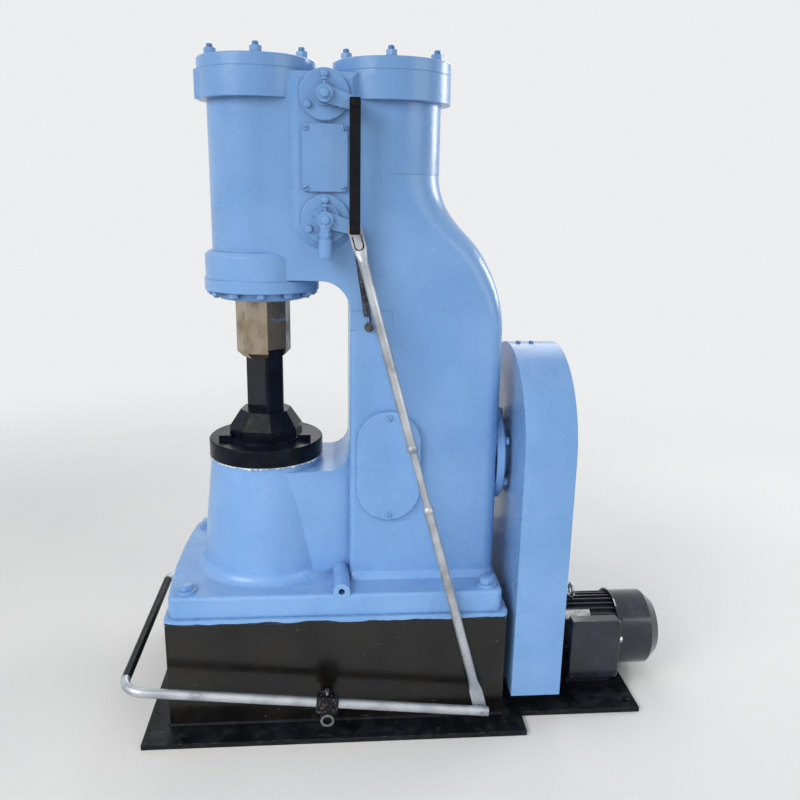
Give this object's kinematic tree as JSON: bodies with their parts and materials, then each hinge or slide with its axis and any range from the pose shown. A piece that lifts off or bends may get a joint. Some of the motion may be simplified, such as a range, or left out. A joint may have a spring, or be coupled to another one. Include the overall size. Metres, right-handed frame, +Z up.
{
  "type": "pneumatic forging hammer",
  "caption": "Self-contained air hammer: cast C-frame with ram and compressor cylinders on a welded base box, treadle-worked valve levers, dies, belt guard and motor.",
  "frame": {"origin": "on the floor, under the ram's axis", "axes": "+Z up along the ram's axis, +X from the ram towards the motor, -Y to the side with the valve levers"},
  "size_m": [1.2782, 0.5872, 1.45],
  "materials": {
    "blue_paint": "gloss",
    "black_base": "gloss",
    "black_die": "satin",
    "oiled_steel": "oiled",
    "motor_grey": "satin",
    "dark_steel": "satin",
    "silver_pipe": "satin",
    "spring_steel": "dull"
  },
  "bodies": {
    "machine": {"base_plate": "black_base", "motor_plate": "black_base", "base_box": "black_base", "deck_plate": "blue_paint", "frame_casting": "blue_paint", "ram_cylinder_cover": "blue_paint", "compressor_cover": "blue_paint", "ram_guide_ring": "blue_paint", "upper_valve_cover": "blue_paint", "lower_valve_cover": "blue_paint", "upper_valve_cover_far": "blue_paint", "lower_valve_cover_far": "blue_paint", "valve_chest_plate": "blue_paint", "valve_chest_plate_far": "blue_paint", "inspection_cover": "blue_paint", "inspection_cover_far": "blue_paint", "anvil_block": "black_die", "lower_die": "black_die", "bearing_housing": "blue_paint", "belt_guard": "blue_paint", "motor_front_shield": "motor_grey", "motor_frame": "motor_grey", "motor_fan_cowl": "motor_grey", "motor_terminal_box": "motor_grey", "motor_terminal_lid": "motor_grey", "motor_lifting_eye": "dark_steel", "treadle_near_pivot": "dark_steel", "treadle_far_pivot": "dark_steel", "spring_pin": "dark_steel", "return_spring": "spring_steel"},
    "ram_unit": {"ram": "oiled_steel", "upper_die": "black_die", "upper_die_key": "black_die"},
    "treadle": {"treadle_near_arm": "silver_pipe", "treadle_foot_bar": "dark_steel", "treadle_far_arm": "silver_pipe", "treadle_near_clamp": "silver_pipe", "treadle_far_clamp": "silver_pipe"},
    "lower_lever": {"lower_valve_lever": "blue_paint"},
    "upper_lever": {"upper_valve_lever": "blue_paint"},
    "link": {"link_bar": "dark_steel"},
    "rod": {"pull_rod": "silver_pipe"}
  },
  "joints": [
    {"name": "ram_slide", "type": "slide", "parent": "machine", "child": "ram_unit", "axis": [0, 0, 1], "range_m": [0, 0.13]},
    {"name": "treadle_hinge", "type": "hinge", "parent": "machine", "child": "treadle", "pos_m": [0.141, 0, 0.0655], "axis": [0, -1, 0], "range_deg": [0, 6.5], "stiffness_Nm_per_rad": 60, "springref_deg": -17.19},
    {"name": "lower_lever_turn", "type": "hinge", "parent": "machine", "child": "lower_lever", "pos_m": [0.142, -0.13, 1.132], "axis": [0, -1, 0], "range_deg": [-1, 38], "deforming": ["return_spring"]},
    {"name": "upper_lever_turn", "type": "hinge", "parent": "machine", "child": "upper_lever", "pos_m": [0.142, -0.13, 1.374], "axis": [0, -1, 0], "range_deg": [-1, 38]},
    {"name": "link_swing", "type": "hinge", "parent": "lower_lever", "child": "link", "pos_m": [0.202, -0.15, 1.1145], "axis": [0, -1, 0], "range_deg": [-38, 1]},
    {"name": "rod_swing", "type": "hinge", "parent": "lower_lever", "child": "rod", "pos_m": [0.202, -0.144, 1.1145], "axis": [0, -1, 0], "range_deg": [-38, 1]}
  ],
  "couplings": [
    {"joint": "lower_lever_turn", "follows": "treadle_hinge", "ratio": 5.66},
    {"joint": "upper_lever_turn", "follows": "treadle_hinge", "ratio": 5.66},
    {"joint": "link_swing", "follows": "treadle_hinge", "ratio": -5.66},
    {"joint": "rod_swing", "follows": "treadle_hinge", "ratio": -5.679}
  ]
}
